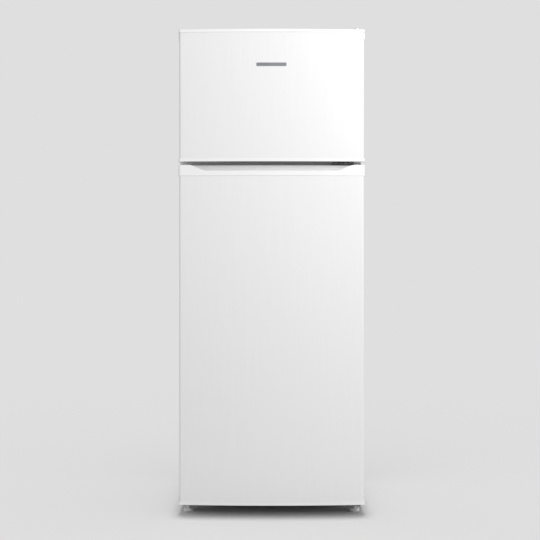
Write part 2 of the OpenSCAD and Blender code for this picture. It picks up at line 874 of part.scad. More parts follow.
// Snap-on cover with a slot in front for the hinge plate
module top_hinge_cover() {
    color("white") difference() {
        along_z(cabinet_top, cabinet_top + 10)
            polygon(rounded(axis_x - 82, cab_front + 2, side - 1, cab_front + 72, 6));
        along_z(cabinet_top - 1, cabinet_top + 8)
            polygon(rounded(axis_x - 80, cab_front + 4, side - 3, cab_front + 70, 4));
        block([axis_x - 12.5, cab_front, cabinet_top - 1],
              [axis_x + 12.5, cab_front + 10, cabinet_top + 3.5]);
    }
}

// A plate in the gap between the doors, with a pin up and a pin down
module middle_hinge() {
    z0 = gap_middle - plate_t / 2;
    z1 = gap_middle + plate_t / 2;
    color("dimgray") {
        difference() {
            block([axis_x - 70, cab_front - 2, gap_middle - 9], [axis_x - 18, cab_front, gap_middle + 9]);
            for (p = middle_screws) bar_y(cab_front - 3, cab_front + 1, p.x, p.y, small_screw[0]);
        }
        block([axis_x - 70, axis_y + 2, z0], [axis_x + 10, cab_front - 2, z1]);
        bar_z(z0, z1, axis_x, axis_y, 24);
        bar_z(fridge_door_top - bush_deep, freezer_door_z + bush_deep, axis_x, axis_y, pin_d);
    }
}

// Screw with a domed head, along +Z with its head's base at the origin
module screw(size, shank) {
    shank_r = size[0] / 2;
    head_r = size[1] / 2;
    head_h = size[2];
    rotate_extrude()
        polygon(concat([[0, -shank], [shank_r, -shank], [shank_r, 0], [head_r, 0],
                        [head_r, head_h * 0.4]],
                       [for (t = [30, 60, 90]) [head_r * cos(t), head_h * (0.4 + 0.6 * sin(t))]]));
}

module hinge_screws() {
    color("silver") {
        for (p = top_screws) translate([p.x, p.y, cabinet_top + top_plate_t]) screw(large_screw, 3);
        for (p = middle_screws)
            translate([p.x, cab_front - 2, p.y]) rotate([90, 0, 0]) screw(small_screw, 2);
        for (p = base_screws)
            translate([p.x, p.y, cabinet_bottom - plate_t]) rotate([180, 0, 0]) screw(large_screw, 4);
    }
}

// Plugs in the screw holes of the side where the hinges aren't used
module hinge_hole_plugs() {
    color("gainsboro") {
        for (p = middle_screws)
            translate([-p.x, cab_front, p.y]) rotate([90, 0, 0]) cylinder(h = 1.2, d = 7);
        for (p = top_screws) bar_z(cabinet_top, cabinet_top + 1.5, -p.x, p.y, 11);
    }
}

// ---- Doors

// Cap at the end of a door, with its outer face at Z 0 and the door below it
module end_cap(band, flange) {
    difference() {
        union() {
            along_z(-band, 0) polygon(door_plan(cap_half, 0, cap_corner, foam_back));
            for (s = [-1, 1]) {
                inner = s * side;
                outer = s * cap_half;
                block([min(inner, outer), door_front + door_bow + 6, -flange],
                      [max(inner, outer), foam_back, -band]);
            }
        }
        along_z(-band - 1, -cap_plate) polygon(foam_plan());
        bar_z(-cap_plate - 1, 1, axis_x, axis_y, 2 * bush_r);
        bar_z(-cap_plate - 1, 1, -axis_x, axis_y, 2 * bush_r - 4);
    }
}

function foam_plan() = door_plan(side - panel_t, panel_inset + panel_t, cap_corner - 2, foam_back);

// Sheet that wraps the front and both sides, with a return along each side of the back
module door_panel(z0, z1) {
    difference() {
        along_z(z0, z1) difference() {
            polygon(door_plan(side, panel_inset, cap_corner - 1, foam_back));
            polygon(door_plan(side - panel_t, panel_inset + panel_t, cap_corner - 2,
                              foam_back - panel_t));
        }
        block([return_w - side, foam_back - 2, z0 - 1], [side - return_w, foam_back + 1, z1 + 1]);
    }
}

// Outline of the ridge on a door's liner around the opening from z0 to z1
module ridge_outline(z0, z1, inset) {
    x = ridge_out - inset;
    polygon(rounded(-x, z0 + 6 + inset, x, z1 - 6 - inset, 24 - inset));
}

module recess_outline(z0, z1, grow) {
    x = ridge_in + grow;
    z = 6 + ridge_w - grow;
    polygon(rounded(-x, z0 + z, x, z1 - z, recess_r + grow));
}

// Skin on the back of a door, from door_z0 to door_z1, with a hollow ridge that enters the
// compartment from z0 to z1 and holds the racks
module door_liner(door_z0, door_z1, z0, z1) {
    plate_half = cap_half - 5;
    difference() {
        union() {
            along_y(foam_back, door_back)
                polygon(rounded(-plate_half, door_z0 + 3, plate_half, door_z1 - 3, 6));
            along_y(foam_back, ridge_y) ridge_outline(z0, z1, 0);
        }
        along_y(recess_y, ridge_y + 1) recess_outline(z0, z1, 0);
        along_y(foam_back - 1, ridge_y - liner_t) difference() {
            ridge_outline(z0, z1, liner_t);
            recess_outline(z0, z1, liner_t);
        }
    }
}

// Space of the returns along the back of a door's sheet
module sheet_returns(z0, z1) {
    for (s = [-1, 1]) {
        inner = s * (side - return_w);
        outer = s * cap_half;
        block([min(inner, outer), foam_back - panel_t, z0],
              [max(inner, outer), foam_back + 1, z1]);
    }
}

// Foam that fills a door up to its liner, without the ridges
module door_foam(z0, z1) {
    difference() {
        along_z(z0, z1) polygon(foam_plan());
        sheet_returns(z0 - 1, z1 + 1);
        for (z = [z0, z1]) bar_z(z - bush_deep, z + bush_deep, axis_x, axis_y, 2 * bush_r);
    }
}

// Foam inside the ridges: a strip at each side, and one below and one above between them
module ridge_foam(z0, z1) {
    x0 = ridge_in + liner_t;
    low = z0 + 6;
    high = z1 - 6;
    band = ridge_w - liner_t;
    module strip(a, b) {
        intersection() {
            along_y(foam_back + seam, ridge_y - liner_t) ridge_outline(z0, z1, liner_t);
            block([a.x, foam_back, a.y], [b.x, ridge_y, b.y]);
        }
    }
    strip([-cap_half, low], [-x0, high]);
    strip([x0, low], [cap_half, high]);
    strip([seam - x0, low], [x0 - seam, low + band]);
    strip([seam - x0, high - band], [x0 - seam, high]);
}

module door_gasket(z0, z1) {
    inner = room_half + 4;
    outer = inner + gasket_w;
    along_y(door_back, cab_front - gasket_gap) difference() {
        polygon(rounded(-outer, z0 - gasket_w, outer, z1 + gasket_w, 14));
        polygon(rounded(-inner, z0, inner, z1, 4));
    }
}

// Bush that a hinge pin turns in, with its flange outside the cap at Z 0
module bush(flange) {
    rotate_extrude()
        polygon([[pin_r + fit, -bush_deep], [bush_r, -bush_deep], [bush_r, 0],
                 [bush_flange_r, 0], [bush_flange_r, flange], [pin_r + fit, flange]]);
}

// Open tray between the ridges of a door's liner, with rounded outer corners
module rack(z, h, wall) {
    half = ridge_in - 0.5;
    y0 = recess_y + rack_back;
    y1 = recess_y + rack_reach;
    r = 16;
    difference() {
        along_z(z, z + h)
            polygon(concat([[-half, y0], [half, y0]], arc(half - r, y1 - r, r, 0, 90, 6),
                           arc(r - half, y1 - r, r, 90, 180, 6)));
        along_z(z + wall, z + h + 1)
            polygon(concat([[wall - half, y0 + wall], [half - wall, y0 + wall]],
                           arc(half - r, y1 - r, r - wall, 0, 90, 6),
                           arc(r - half, y1 - r, r - wall, 90, 180, 6)));
        block([wall - half, y0 - 1, z + 0.45 * h], [half - wall, y0 + wall + 1, z + h + 1]);
    }
}

module freezer_door_panel() {
    color("white") door_panel(freezer_door_z + middle_lip, freezer_door_top - top_lip);
}

module freezer_door_top_cap() {
    color("white") translate([0, 0, freezer_door_top]) end_cap(top_lip, cap_flange);
}

module freezer_door_bottom_cap() {
    color("white") translate([0, 0, freezer_door_z]) mirror([0, 0, 1])
        end_cap(middle_lip, middle_lip + 0.5);
}

module freezer_door_foam() {
    color("khaki") {
        door_foam(freezer_door_z + cap_plate, freezer_door_top - cap_plate);
        ridge_foam(freezer_floor, freezer_ceiling);
    }
}

module freezer_door_liner() {
    color("white") door_liner(freezer_door_z, freezer_door_top, freezer_floor, freezer_ceiling);
}

module freezer_door_gasket() {
    color("whitesmoke") door_gasket(freezer_floor, freezer_ceiling);
}

module freezer_door_racks() {
    color("whitesmoke") for (i = [0:1]) rack(freezer_rack_z[i], freezer_rack_h[i], rack_t);
}

module freezer_door_bushes() {
    color("white") {
        translate([axis_x, axis_y, freezer_door_top]) bush(cabinet_top - freezer_door_top - bush_gap);
        translate([axis_x, axis_y, freezer_door_z]) mirror([0, 0, 1])
            bush(door_gap / 2 - plate_t / 2 - bush_gap);
    }
}

// Blank plate with round ends, which follows the bow of the door
module badge_plate() {
    z = freezer_door_top - 104;
    half = 44;
    half_h = 5;
    color("gray") intersection() {
        along_z(z - 10, z + 10) difference() {
            polygon(door_plan(side, 0.2, cap_corner, foam_back));
            polygon(door_plan(side, panel_inset, cap_corner - 1, foam_back));
        }
        along_y(door_front - 5, door_front + 5) polygon(rounded(-half, z - half_h, half, z + half_h, 2));
    }
}

module fridge_door_panel() {
    color("white") door_panel(fridge_door_z + bottom_lip, fridge_door_top - handle_band);
}

// Outline of the space that the scoop takes out of the cap's front, seen from the front
module scoop_front(top) {
    low = top - scoop_drop;
    function ramp(t) = low + (scoop_drop + 0.01) * (1 - cos(180 * t)) / 2;
    polygon(concat(
        [for (i = [0:12]) [-scoop_half - scoop_ramp * (12 - i) / 12, ramp((12 - i) / 12)]],
        [for (i = [0:12]) [scoop_half + scoop_ramp * i / 12, ramp(i / 12)]],
        [[scoop_half + scoop_ramp, top + 5], [-scoop_half - scoop_ramp, top + 5]]));
}

// Outline, seen from above, of a curved trough between two insets of the door's front
module trough_plan(half, front, back) {
    intersection() {
        difference() {
            polygon(door_plan(side, front, cap_corner, foam_back));
            polygon(door_plan(side, back, cap_corner, foam_back + 9));
        }
        translate([-half, door_front - 5]) square([2 * half, 60]);
    }
}

module fridge_door_handle_cap() {
    top = fridge_door_top;
    base = top - handle_band;
    trough_floor = base - tub_deep + tub_wall;
    color("white") difference() {
        union() {
            along_z(base, top) polygon(door_plan(cap_half, 0, cap_corner, foam_back));
            along_z(base - tub_deep, base)
                trough_plan(tub_half + tub_wall, panel_inset + panel_t, scoop_inset);
        }
        along_z(trough_floor, top + 1)
            trough_plan(tub_half, lip_wall, lip_wall + scoop_deep);
        intersection() {
            along_y(door_front - 5, door_back) scoop_front(top);
            along_z(base, top + 5) trough_plan(cap_half, -3, lip_wall + scoop_deep);
        }
        along_z(base - 1, top - cap_plate) polygon(handle_foam_plan());
        bar_z(top - bush_deep, top + 1, axis_x, axis_y, 2 * bush_r);
        bar_z(top - bush_deep, top + 1, -axis_x, axis_y, 2 * bush_r - 4);
    }
}

function handle_foam_plan() = door_plan(side - panel_t, scoop_inset + seam, 2, foam_back);

module fridge_door_bottom_cap() {
    color("white") translate([0, 0, fridge_door_z]) mirror([0, 0, 1]) end_cap(bottom_lip, 25);
}

// Up to the trough the foam has the door's whole depth, and behind the scoop less
module fridge_door_foam() {
    base = fridge_door_top - handle_band;
    low = base - tub_deep;
    tub_x = tub_half + tub_wall;
    color("khaki") {
        door_foam(fridge_door_z + cap_plate, low - seam);
        ridge_foam(fridge_floor, fridge_ceiling);
        difference() {
            along_z(low, fridge_door_top - cap_plate) polygon(handle_foam_plan());
            sheet_returns(low - 1, base);
            bar_z(fridge_door_top - bush_deep, fridge_door_top, axis_x, axis_y, 2 * bush_r);
        }
        for (s = [-1, 1]) {
            inner = s * tub_x;
            outer = s * cap_half;
            intersection() {
                along_z(low, base) difference() {
                    polygon(foam_plan());
                    polygon(door_plan(side, scoop_inset, 2, foam_back + 9));
                }
                block([min(inner, outer), door_front, low], [max(inner, outer), axis_y, base]);
            }
        }
    }
}

module fridge_door_liner() {
    color("white") door_liner(fridge_door_z, fridge_door_top, fridge_floor, fridge_ceiling);
}

module fridge_door_gasket() {
    color("whitesmoke") door_gasket(fridge_floor, fridge_ceiling);
}

module fridge_door_racks() {
    color("whitesmoke") for (i = [0:3]) rack(fridge_rack_z[i], fridge_rack_h[i], rack_t);
}

module fridge_door_bushes() {
    color("white") {
        translate([axis_x, axis_y, fridge_door_top]) bush(door_gap / 2 - plate_t / 2 - bush_gap);
        translate([axis_x, axis_y, fridge_door_z]) mirror([0, 0, 1])
            bush(fridge_door_z - cabinet_bottom - bush_gap);
    }
}

outer_shell();
back_panel();
insulation_foam();
freezer_liner();
fridge_liner();
mullion_cover();
evaporators();
under_panel();
base_rail();
left_foot_bracket();
compressor_tray();
compressor();
compressor_grommets();
starter_cover();
drip_tray();
drain_tube();
condenser_tube();
condenser_wires();
condenser_brackets();
filter_drier();
refrigerant_lines();
thermostat_housing();
lamp();
light_cover();
switch_housing();
glass_shelves();
shelf_trims();
freezer_shelf();
top_hinge();
top_hinge_cover();
middle_hinge();
bottom_hinge();
hinge_screws();
hinge_hole_plugs();
roller_axles();
thermostat_knob();
light_switch();
crisper_drawer();
front_left_foot();
front_right_foot();
rear_left_roller();
rear_right_roller();
freezer_door_panel();
freezer_door_top_cap();
freezer_door_bottom_cap();
freezer_door_foam();
freezer_door_liner();
freezer_door_gasket();
freezer_door_racks();
freezer_door_bushes();
badge_plate();
fridge_door_panel();
fridge_door_handle_cap();
fridge_door_bottom_cap();
fridge_door_foam();
fridge_door_liner();
fridge_door_gasket();
fridge_door_racks();
fridge_door_bushes();
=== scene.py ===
"""Looks of a top-freezer refrigerator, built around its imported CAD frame. Lengths are in metres."""

import json
import math

import bmesh
import bpy
from mathutils import Matrix, Vector

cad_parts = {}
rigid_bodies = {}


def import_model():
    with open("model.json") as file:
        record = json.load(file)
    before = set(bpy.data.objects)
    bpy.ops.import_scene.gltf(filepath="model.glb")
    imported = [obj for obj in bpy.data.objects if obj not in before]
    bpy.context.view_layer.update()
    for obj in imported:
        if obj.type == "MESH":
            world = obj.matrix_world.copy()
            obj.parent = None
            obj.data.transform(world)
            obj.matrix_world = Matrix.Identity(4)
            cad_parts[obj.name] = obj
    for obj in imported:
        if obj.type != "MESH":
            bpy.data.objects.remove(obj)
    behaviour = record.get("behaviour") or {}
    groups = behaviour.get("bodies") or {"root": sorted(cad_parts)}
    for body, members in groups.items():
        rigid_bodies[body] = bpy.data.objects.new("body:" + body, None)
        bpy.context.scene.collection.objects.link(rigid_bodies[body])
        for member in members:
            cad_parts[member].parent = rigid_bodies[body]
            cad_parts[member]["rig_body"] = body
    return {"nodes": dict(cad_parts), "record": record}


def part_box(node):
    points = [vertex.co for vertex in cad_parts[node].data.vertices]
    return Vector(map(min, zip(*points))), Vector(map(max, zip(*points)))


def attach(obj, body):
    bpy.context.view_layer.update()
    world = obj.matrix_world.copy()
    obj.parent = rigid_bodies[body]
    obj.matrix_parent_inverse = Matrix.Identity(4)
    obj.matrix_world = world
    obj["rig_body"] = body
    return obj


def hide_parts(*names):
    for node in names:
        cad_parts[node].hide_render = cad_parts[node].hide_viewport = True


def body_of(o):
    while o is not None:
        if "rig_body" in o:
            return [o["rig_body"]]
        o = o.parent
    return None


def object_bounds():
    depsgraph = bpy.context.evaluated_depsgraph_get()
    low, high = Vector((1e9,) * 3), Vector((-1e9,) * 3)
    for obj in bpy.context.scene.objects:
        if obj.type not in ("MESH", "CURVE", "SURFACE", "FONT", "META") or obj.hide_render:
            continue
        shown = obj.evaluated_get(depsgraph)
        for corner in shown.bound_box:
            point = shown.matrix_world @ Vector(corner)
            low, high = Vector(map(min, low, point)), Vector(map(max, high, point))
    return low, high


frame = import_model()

MM = 0.001


def box_lists():
    """The lowest and highest corner of everything shown, as plain lists of numbers."""
    return [[float(value) for value in corner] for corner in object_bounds()]


cad_box = box_lists()
scene = bpy.context.scene

# ---- Camera, light and floor

EYE_HEIGHT = 0.77
# From the front of the door caps to the camera
EYE_DISTANCE = 3.55
# Width and middle (across and up) of what the camera sees in the plane of the caps' front
VIEW_WIDTH = 1.5827
VIEW_MIDDLE = (-0.0044, 0.7228)
SENSOR = 36.0
# Level of the world behind the object, which the floor has to match
BACKDROP = 0.738
FLOOR_ALBEDO = 0.65
FLOOR_SIZE = 60
# The sun leans to the back by this much, so its shadow falls a little to the front
SUN_LEAN = math.radians(1.5)
SUN_ANGLE = math.radians(2.5)
SUN_HEIGHT = 4
KEY_PLACE = (1.2, -1.7, 1.9)
KEY_TARGET = (0.0, -0.3, 1.2)
KEY_POWER = 28.0
KEY_SIZE = 0.8


def make_camera():
    """A level camera in front of the doors, shifted so that it looks at the photograph's middle."""
    front = cad_box[0][1]
    data = bpy.data.cameras.new("camera")
    data.sensor_width = SENSOR
    data.lens = SENSOR * EYE_DISTANCE / VIEW_WIDTH
    data.shift_x = VIEW_MIDDLE[0] / VIEW_WIDTH
    data.shift_y = (VIEW_MIDDLE[1] - EYE_HEIGHT) / VIEW_WIDTH
    camera = bpy.data.objects.new("camera", data)
    camera.location = (0, front - EYE_DISTANCE, EYE_HEIGHT)
    camera.rotation_euler = (math.radians(90), 0, 0)
    scene.collection.objects.link(camera)
    scene.camera = camera


def make_floor():
    """A plain pale floor, whose own material is as bright as the backdrop in this light."""
    bpy.ops.mesh.primitive_plane_add(size=FLOOR_SIZE)
    floor = bpy.context.object
    floor.name = "floor"
    mat = bpy.data.materials.new("floor")
    mat.use_nodes = True
    tree = mat.node_tree
    tree.nodes.remove(tree.nodes["Principled BSDF"])
    diffuse = tree.nodes.new("ShaderNodeBsdfDiffuse")
    diffuse.inputs["Color"].default_value = (FLOOR_ALBEDO,) * 3 + (1,)
    tree.links.new(diffuse.outputs[0], tree.nodes["Material Output"].inputs["Surface"])
    floor.data.materials.append(mat)
    return floor


def add_light(name, kind, place, target, power):
    """A lamp at a place, turned to its target."""
    data = bpy.data.lights.new(name, kind)
    data.energy = power
    lamp = bpy.data.objects.new(name, data)
    lamp.location = place
    lamp.rotation_euler = (Vector(target) - Vector(place)).to_track_quat("-Z", "Y").to_euler()
    scene.collection.objects.link(lamp)
    return lamp


def link_to_floor(lamp, floor, state):
    """Makes a lamp light the floor alone, or everything but the floor."""
    receivers = bpy.data.collections.new(lamp.name + "_receivers")
    receivers.objects.link(floor)
    lamp.light_linking.receiver_collection = receivers
    receivers.collection_objects[0].light_linking.link_state = state


def make_light(floor):
    """An even world, a sun that lifts the floor to the backdrop, and a softbox, upper right."""
    world = bpy.data.worlds.new("studio")
    world.use_nodes = True
    world.node_tree.nodes["Background"].inputs["Color"].default_value = (BACKDROP,) * 3 + (1,)
    scene.world = world
    lift = math.pi * BACKDROP * (1 - FLOOR_ALBEDO) / FLOOR_ALBEDO
    sun_place = (0, SUN_HEIGHT * math.tan(SUN_LEAN), SUN_HEIGHT)
    sun = add_light("overhead", "SUN", sun_place, (0, 0, 0), lift)
    sun.data.angle = SUN_ANGLE
    link_to_floor(sun, floor, "INCLUDE")
    key = add_light("softbox", "AREA", KEY_PLACE, KEY_TARGET, KEY_POWER)
    key.data.shape = "SQUARE"
    key.data.size = KEY_SIZE
    key.visible_camera = False
    link_to_floor(key, floor, "EXCLUDE")
    scene.view_settings.view_transform = "Standard"


make_camera()
make_light(make_floor())

# ---- Materials


class Surface:
    """A procedural material: a Principled shader fed by patterns in the row frame."""

    def __init__(self, name, colour, roughness, **values):
        self.mat = bpy.data.materials.new(name)
        self.mat.use_nodes = True
        self.tree = self.mat.node_tree
        self.shader = self.tree.nodes["Principled BSDF"]
        self.place = self.node("ShaderNodeTexCoord").outputs["Object"]
        self.set("Base Color", colour + (1,))
        self.set("Roughness", roughness)
        for socket, value in values.items():
            self.set(socket.replace("_", " "), value)

    def node(self, kind, **values):
        made = self.tree.nodes.new(kind)
        for name, value in values.items():
            setattr(made, name, value)
        return made

    def set(self, socket, value):
        self.shader.inputs[socket].default_value = value

    def link(self, output, socket):
        self.tree.links.new(output, self.shader.inputs[socket])

    def stretched(self, stretch):
        """Places in the row frame, multiplied along each axis."""
        mapping = self.node("ShaderNodeMapping")
        mapping.inputs["Scale"].default_value = stretch
        self.tree.links.new(self.place, mapping.inputs["Vector"])
        return mapping.outputs["Vector"]

    def noise(self, scale, stretch=(1, 1, 1), detail=3.0):
        made = self.node("ShaderNodeTexNoise")
        made.inputs["Scale"].default_value = scale
        made.inputs["Detail"].default_value = detail
        self.tree.links.new(self.stretched(stretch), made.inputs["Vector"])
        return made.outputs["Fac"]

    def cells(self, scale):
        made = self.node("ShaderNodeTexVoronoi")
        made.inputs["Scale"].default_value = scale
        self.tree.links.new(self.place, made.inputs["Vector"])
        return made.outputs["Distance"]

    def ramp(self, value, low, high, start=0.3, end=0.7):
        """Colours from low to high as value goes from start to end."""
        made = self.node("ShaderNodeValToRGB")
        for element, place, colour in zip(made.color_ramp.elements, (start, end), (low, high)):
            element.position = place
            element.color = colour + (1,)
        self.tree.links.new(value, made.inputs["Fac"])
        return made.outputs["Color"]

    def spread(self, value, low, high):
        """Numbers from low to high as value goes from 0.3 to 0.7."""
        made = self.node("ShaderNodeMapRange")
        limits = {"From Min": 0.3, "From Max": 0.7, "To Min": low, "To Max": high}
        for name, limit in limits.items():
            made.inputs[name].default_value = limit
        self.tree.links.new(value, made.inputs["Value"])
        return made.outputs["Result"]

    def relief(self, *heights):
        """Bump from pairs of a pattern and its depth in metres."""
        normal = None
        for pattern, depth in heights:
            bump = self.node("ShaderNodeBump")
            bump.inputs["Distance"].default_value = depth
            self.tree.links.new(pattern, bump.inputs["Height"])
            if normal is not None:
                self.tree.links.new(normal, bump.inputs["Normal"])
            normal = bump.outputs["Normal"]
        self.link(normal, "Normal")


def grey(level):
    """A grey of that linear level."""
    return (level, level, level)


def painted(name, level, rough, peel, grain=0.0, coat=0.0):
    """Stoved paint with orange peel, faintly clouded or, on the doors, with an upright grain."""
    s = Surface(name, grey(level), rough, Coat_Weight=coat, Coat_Roughness=0.12)
    fine = s.noise(420.0)
    if grain:
        streaks = s.noise(1.0, stretch=(640, 640, 5.5), detail=4.0)
        s.link(s.ramp(streaks, grey(level - grain), grey(level + grain)), "Base Color")
        s.link(s.spread(streaks, rough - 0.05, rough + 0.07), "Roughness")
        s.relief((fine, peel), (streaks, 0.6 * peel))
    else:
        clouds = s.noise(2.2)
        s.link(s.ramp(clouds, grey(level * 0.985), grey(level * 1.01)), "Base Color")
        s.link(s.spread(clouds, rough - 0.03, rough + 0.05), "Roughness")
        s.relief((fine, peel))
    return s.mat


def moulded(name, colour, rough, texture=18e-6, shade=0.02, **values):
    """Moulded or vacuum-formed plastic with a spark-eroded texture and faint flow marks.

    The flow marks vary the roughness by twice as much as the colour.
    """
    s = Surface(name, colour, rough, **values)
    flow = s.noise(9.0, stretch=(1, 1, 0.35), detail=2.0)
    sparks = s.noise(900.0, detail=1.0)
    low = tuple(c * (1 - shade) for c in colour)
    high = tuple(min(1.0, c * (1 + shade)) for c in colour)
    s.link(s.ramp(flow, low, high), "Base Color")
    s.link(s.spread(flow, rough - 2 * shade, rough + 2 * shade), "Roughness")
    s.relief((sparks, texture))
    return s.mat


def clear(name, colour, rough, waves, passing=1.0, **values):
    """Glass or clear plastic, a little wavy. What it doesn't let pass it scatters."""
    s = Surface(name, colour, rough, Transmission_Weight=passing, **values)
    waves_at = s.noise(waves, detail=1.0)
    s.link(s.ramp(waves_at, tuple(0.985 * c for c in colour), colour), "Base Color")
    s.link(s.spread(waves_at, 0.7 * rough, 1.3 * rough), "Roughness")
    s.relief((waves_at, 60e-6))
    return s.mat


def plated(name, colour, rough, spangle=90.0, brushed=None, dirt=0.12):
    """Bare or zinc-plated metal with spangle or brushing and duller patches."""
    s = Surface(name, colour, rough, Metallic=1.0)
    crystals = s.cells(spangle)
    dull = s.noise(14.0)
    dark = tuple(c * (1 - dirt) for c in colour)
    s.link(s.ramp(dull if brushed else crystals, dark, colour, 0.1, 0.75), "Base Color")
    s.link(s.spread(dull, rough - 0.06, rough + 0.12), "Roughness")
    lines = s.noise(1.0, stretch=brushed, detail=3.0) if brushed else s.noise(500.0)
    s.relief((lines, 12e-6))
    return s.mat


def powder_coat(name, level, rough):
    """Coarse wrinkled powder coating with rubbed high spots."""
    s = Surface(name, grey(level), rough)
    wrinkles = s.cells(900.0)
    wear = s.noise(60.0, detail=5.0)
    s.link(s.ramp(wear, grey(level * 0.7), grey(level * 1.7), 0.35, 0.72), "Base Color")
    s.link(s.spread(wear, rough + 0.08, rough - 0.12), "Roughness")
    s.relief((wrinkles, 90e-6))
    return s.mat


def rigid_foam():
    """Poured polyurethane foam with a closed skin and open cells."""
    s = Surface("rigid_foam", (0.72, 0.58, 0.27), 0.9)
    swirl = s.noise(18.0)
    s.link(s.ramp(swirl, (0.62, 0.48, 0.20), (0.78, 0.66, 0.36)), "Base Color")
    s.link(s.spread(swirl, 0.82, 0.96), "Roughness")
    s.relief((s.cells(700.0), 250e-6))
    return s.mat


def rubbery(name, colour, rough, depth):
    """Vinyl or rubber with a fine grain and a smeared bloom."""
    s = Surface(name, colour, rough, Sheen_Weight=0.15, Sheen_Roughness=0.4)
    grain = s.noise(650.0)
    smear = s.noise(20.0)
    s.link(s.ramp(smear, tuple(0.93 * c for c in colour), colour), "Base Color")
    s.link(s.spread(smear, rough - 0.05, rough + 0.08), "Roughness")
    s.relief((grain, depth))
    return s.mat


def copper():
    """Drawn copper tube, browned in patches."""
    s = Surface("copper", (0.80, 0.42, 0.26), 0.32, Metallic=1.0)
    brown = s.noise(24.0, detail=5.0)
    lines = s.noise(1.0, stretch=(300, 300, 20))
    s.link(s.ramp(brown, (0.40, 0.19, 0.12), (0.84, 0.45, 0.28), 0.38, 0.62), "Base Color")
    s.link(s.spread(brown, 0.55, 0.25), "Roughness")
    s.relief((lines, 10e-6))
    return s.mat


def make_materials():
    """One material for each slot of the record."""
    return {
        "cabinet_paint": painted("cabinet_paint", 0.82, 0.40, 30e-6),
        "door_paint": painted("door_paint", 0.74, 0.34, 16e-6, grain=0.012, coat=0.25),
        "cap_plastic": moulded("cap_plastic", grey(0.79), 0.32, shade=0.01, Coat_Weight=0.2),
        "liner_plastic": moulded("liner_plastic", (0.81, 0.82, 0.83), 0.30, 8e-6, 0.006),
        "rigid_foam": rigid_foam(),
        "shelf_glass": clear("shelf_glass", (0.92, 0.985, 0.96), 0.02, 6.0, IOR=1.5),
        "clear_plastic": clear("clear_plastic", (0.975, 0.985, 0.99), 0.12, 14.0, 0.86, IOR=1.49),
        "trim_plastic": moulded("trim_plastic", (0.76, 0.775, 0.79), 0.35),
        "knob_plastic": moulded("knob_plastic", (0.46, 0.49, 0.52), 0.38),
        "switch_plastic": moulded("switch_plastic", (0.82, 0.81, 0.76), 0.3),
        "diffuser_plastic": clear("diffuser_plastic", (0.95, 0.97, 0.98), 0.35, 30.0, IOR=1.49),
        "lamp_glass": moulded("lamp_glass", (0.90, 0.88, 0.80), 0.12, 4e-6, Coat_Weight=0.6),
        "gasket_vinyl": rubbery("gasket_vinyl", (0.72, 0.73, 0.72), 0.52, 14e-6),
        "coated_wire": painted("coated_wire", 0.80, 0.28, 12e-6, coat=0.4),
        "zinc_steel": plated("zinc_steel", (0.62, 0.65, 0.67), 0.36),
        "black_paint": painted("black_paint", 0.018, 0.36, 40e-6),
        "hinge_paint": powder_coat("hinge_paint", 0.16, 0.42),
        "black_plastic": moulded("black_plastic", grey(0.022), 0.45, 30e-6, 0.15),
        "copper": copper(),
        "black_rubber": rubbery("black_rubber", grey(0.020), 0.7, 30e-6),
        "aluminium_sheet": plated("aluminium_sheet", (0.80, 0.81, 0.82), 0.30,
                                  brushed=(900, 900, 12)),
        "foot_plastic": moulded("foot_plastic", grey(0.72), 0.45, 30e-6, 0.03),
        "roller_plastic": moulded("roller_plastic", grey(0.030), 0.5, 30e-6, 0.12),
        "white_nylon": moulded("white_nylon", (0.80, 0.80, 0.76), 0.45),
        "tray_plastic": moulded("tray_plastic", (0.62, 0.64, 0.66), 0.45),
        "badge_metal": plated("badge_metal", (0.30, 0.31, 0.33), 0.34, brushed=(12, 900, 900)),
    }


MATERIALS = make_materials()


def dress_cad_nodes():
    """Gives every CAD node its slot's material."""
    for part in frame["record"]["subparts"]:
        node = frame["nodes"][part["node"]]
        for slot in node.material_slots:
            slot.material = MATERIALS[part["material_slot"]]


dress_cad_nodes()

# ---- Rounded edges on the CAD nodes

# Width of the rounding in millimetres, on each node that gets one
ROUNDING = {
    "outer_shell": 0.35, "mullion_cover": 0.2, "freezer_door_panel": 0.25,
    "fridge_door_panel": 0.25, "freezer_door_top_cap": 0.9, "freezer_door_bottom_cap": 0.9,
    "fridge_door_handle_cap": 1.1, "fridge_door_bottom_cap": 0.9, "top_hinge_cover": 0.9,
    "freezer_liner": 0.5, "fridge_liner": 0.5, "freezer_door_liner": 0.6,
    "fridge_door_liner": 0.6, "freezer_door_racks": 0.9, "fridge_door_racks": 0.9,
    "crisper_drawer": 0.8, "glass_shelves": 0.6, "shelf_trims": 0.8, "thermostat_housing": 0.6,
    "switch_housing": 1.2, "light_cover": 0.8, "top_hinge": 0.5, "middle_hinge": 0.5,
    "bottom_hinge": 0.5, "left_foot_bracket": 0.5, "base_rail": 0.3, "under_panel": 0.2,
    "back_panel": 0.2, "compressor": 0.8, "compressor_tray": 0.3, "starter_cover": 1.0,
    "drip_tray": 0.7, "condenser_brackets": 0.6, "insulation_foam": 1.0, "badge_plate": 0.25,
}
# Edges at least this sharp are rounded
SHARP = math.radians(32)
# Vertices of a CAD node closer than this are one
WELD_GAP = 2e-6


def round_edges(node, width):
    """Welds the node's faces together, rounds its edges and smooths what is left."""
    weld = node.modifiers.new("weld", "WELD")
    weld.merge_threshold = WELD_GAP
    bevel = node.modifiers.new("rounding", "BEVEL")
    bevel.width = width * MM
    bevel.segments = 3
    bevel.limit_method = "ANGLE"
    bevel.angle_limit = SHARP
    shade = node.modifiers.new("shading", "WEIGHTED_NORMAL")
    shade.mode = "FACE_AREA"
    shade.weight = 60


for name, width in ROUNDING.items():
    round_edges(frame["nodes"][name], width)

# ---- Pieces made in mesh code

# Edges sharper than this stay sharp in the shading
SMOOTH = math.radians(38)
BODY_OF = {name: body_of(node)[0] for name, node in frame["nodes"].items()}
SLOT_OF = {part["node"]: part["material_slot"] for part in frame["record"]["subparts"]}


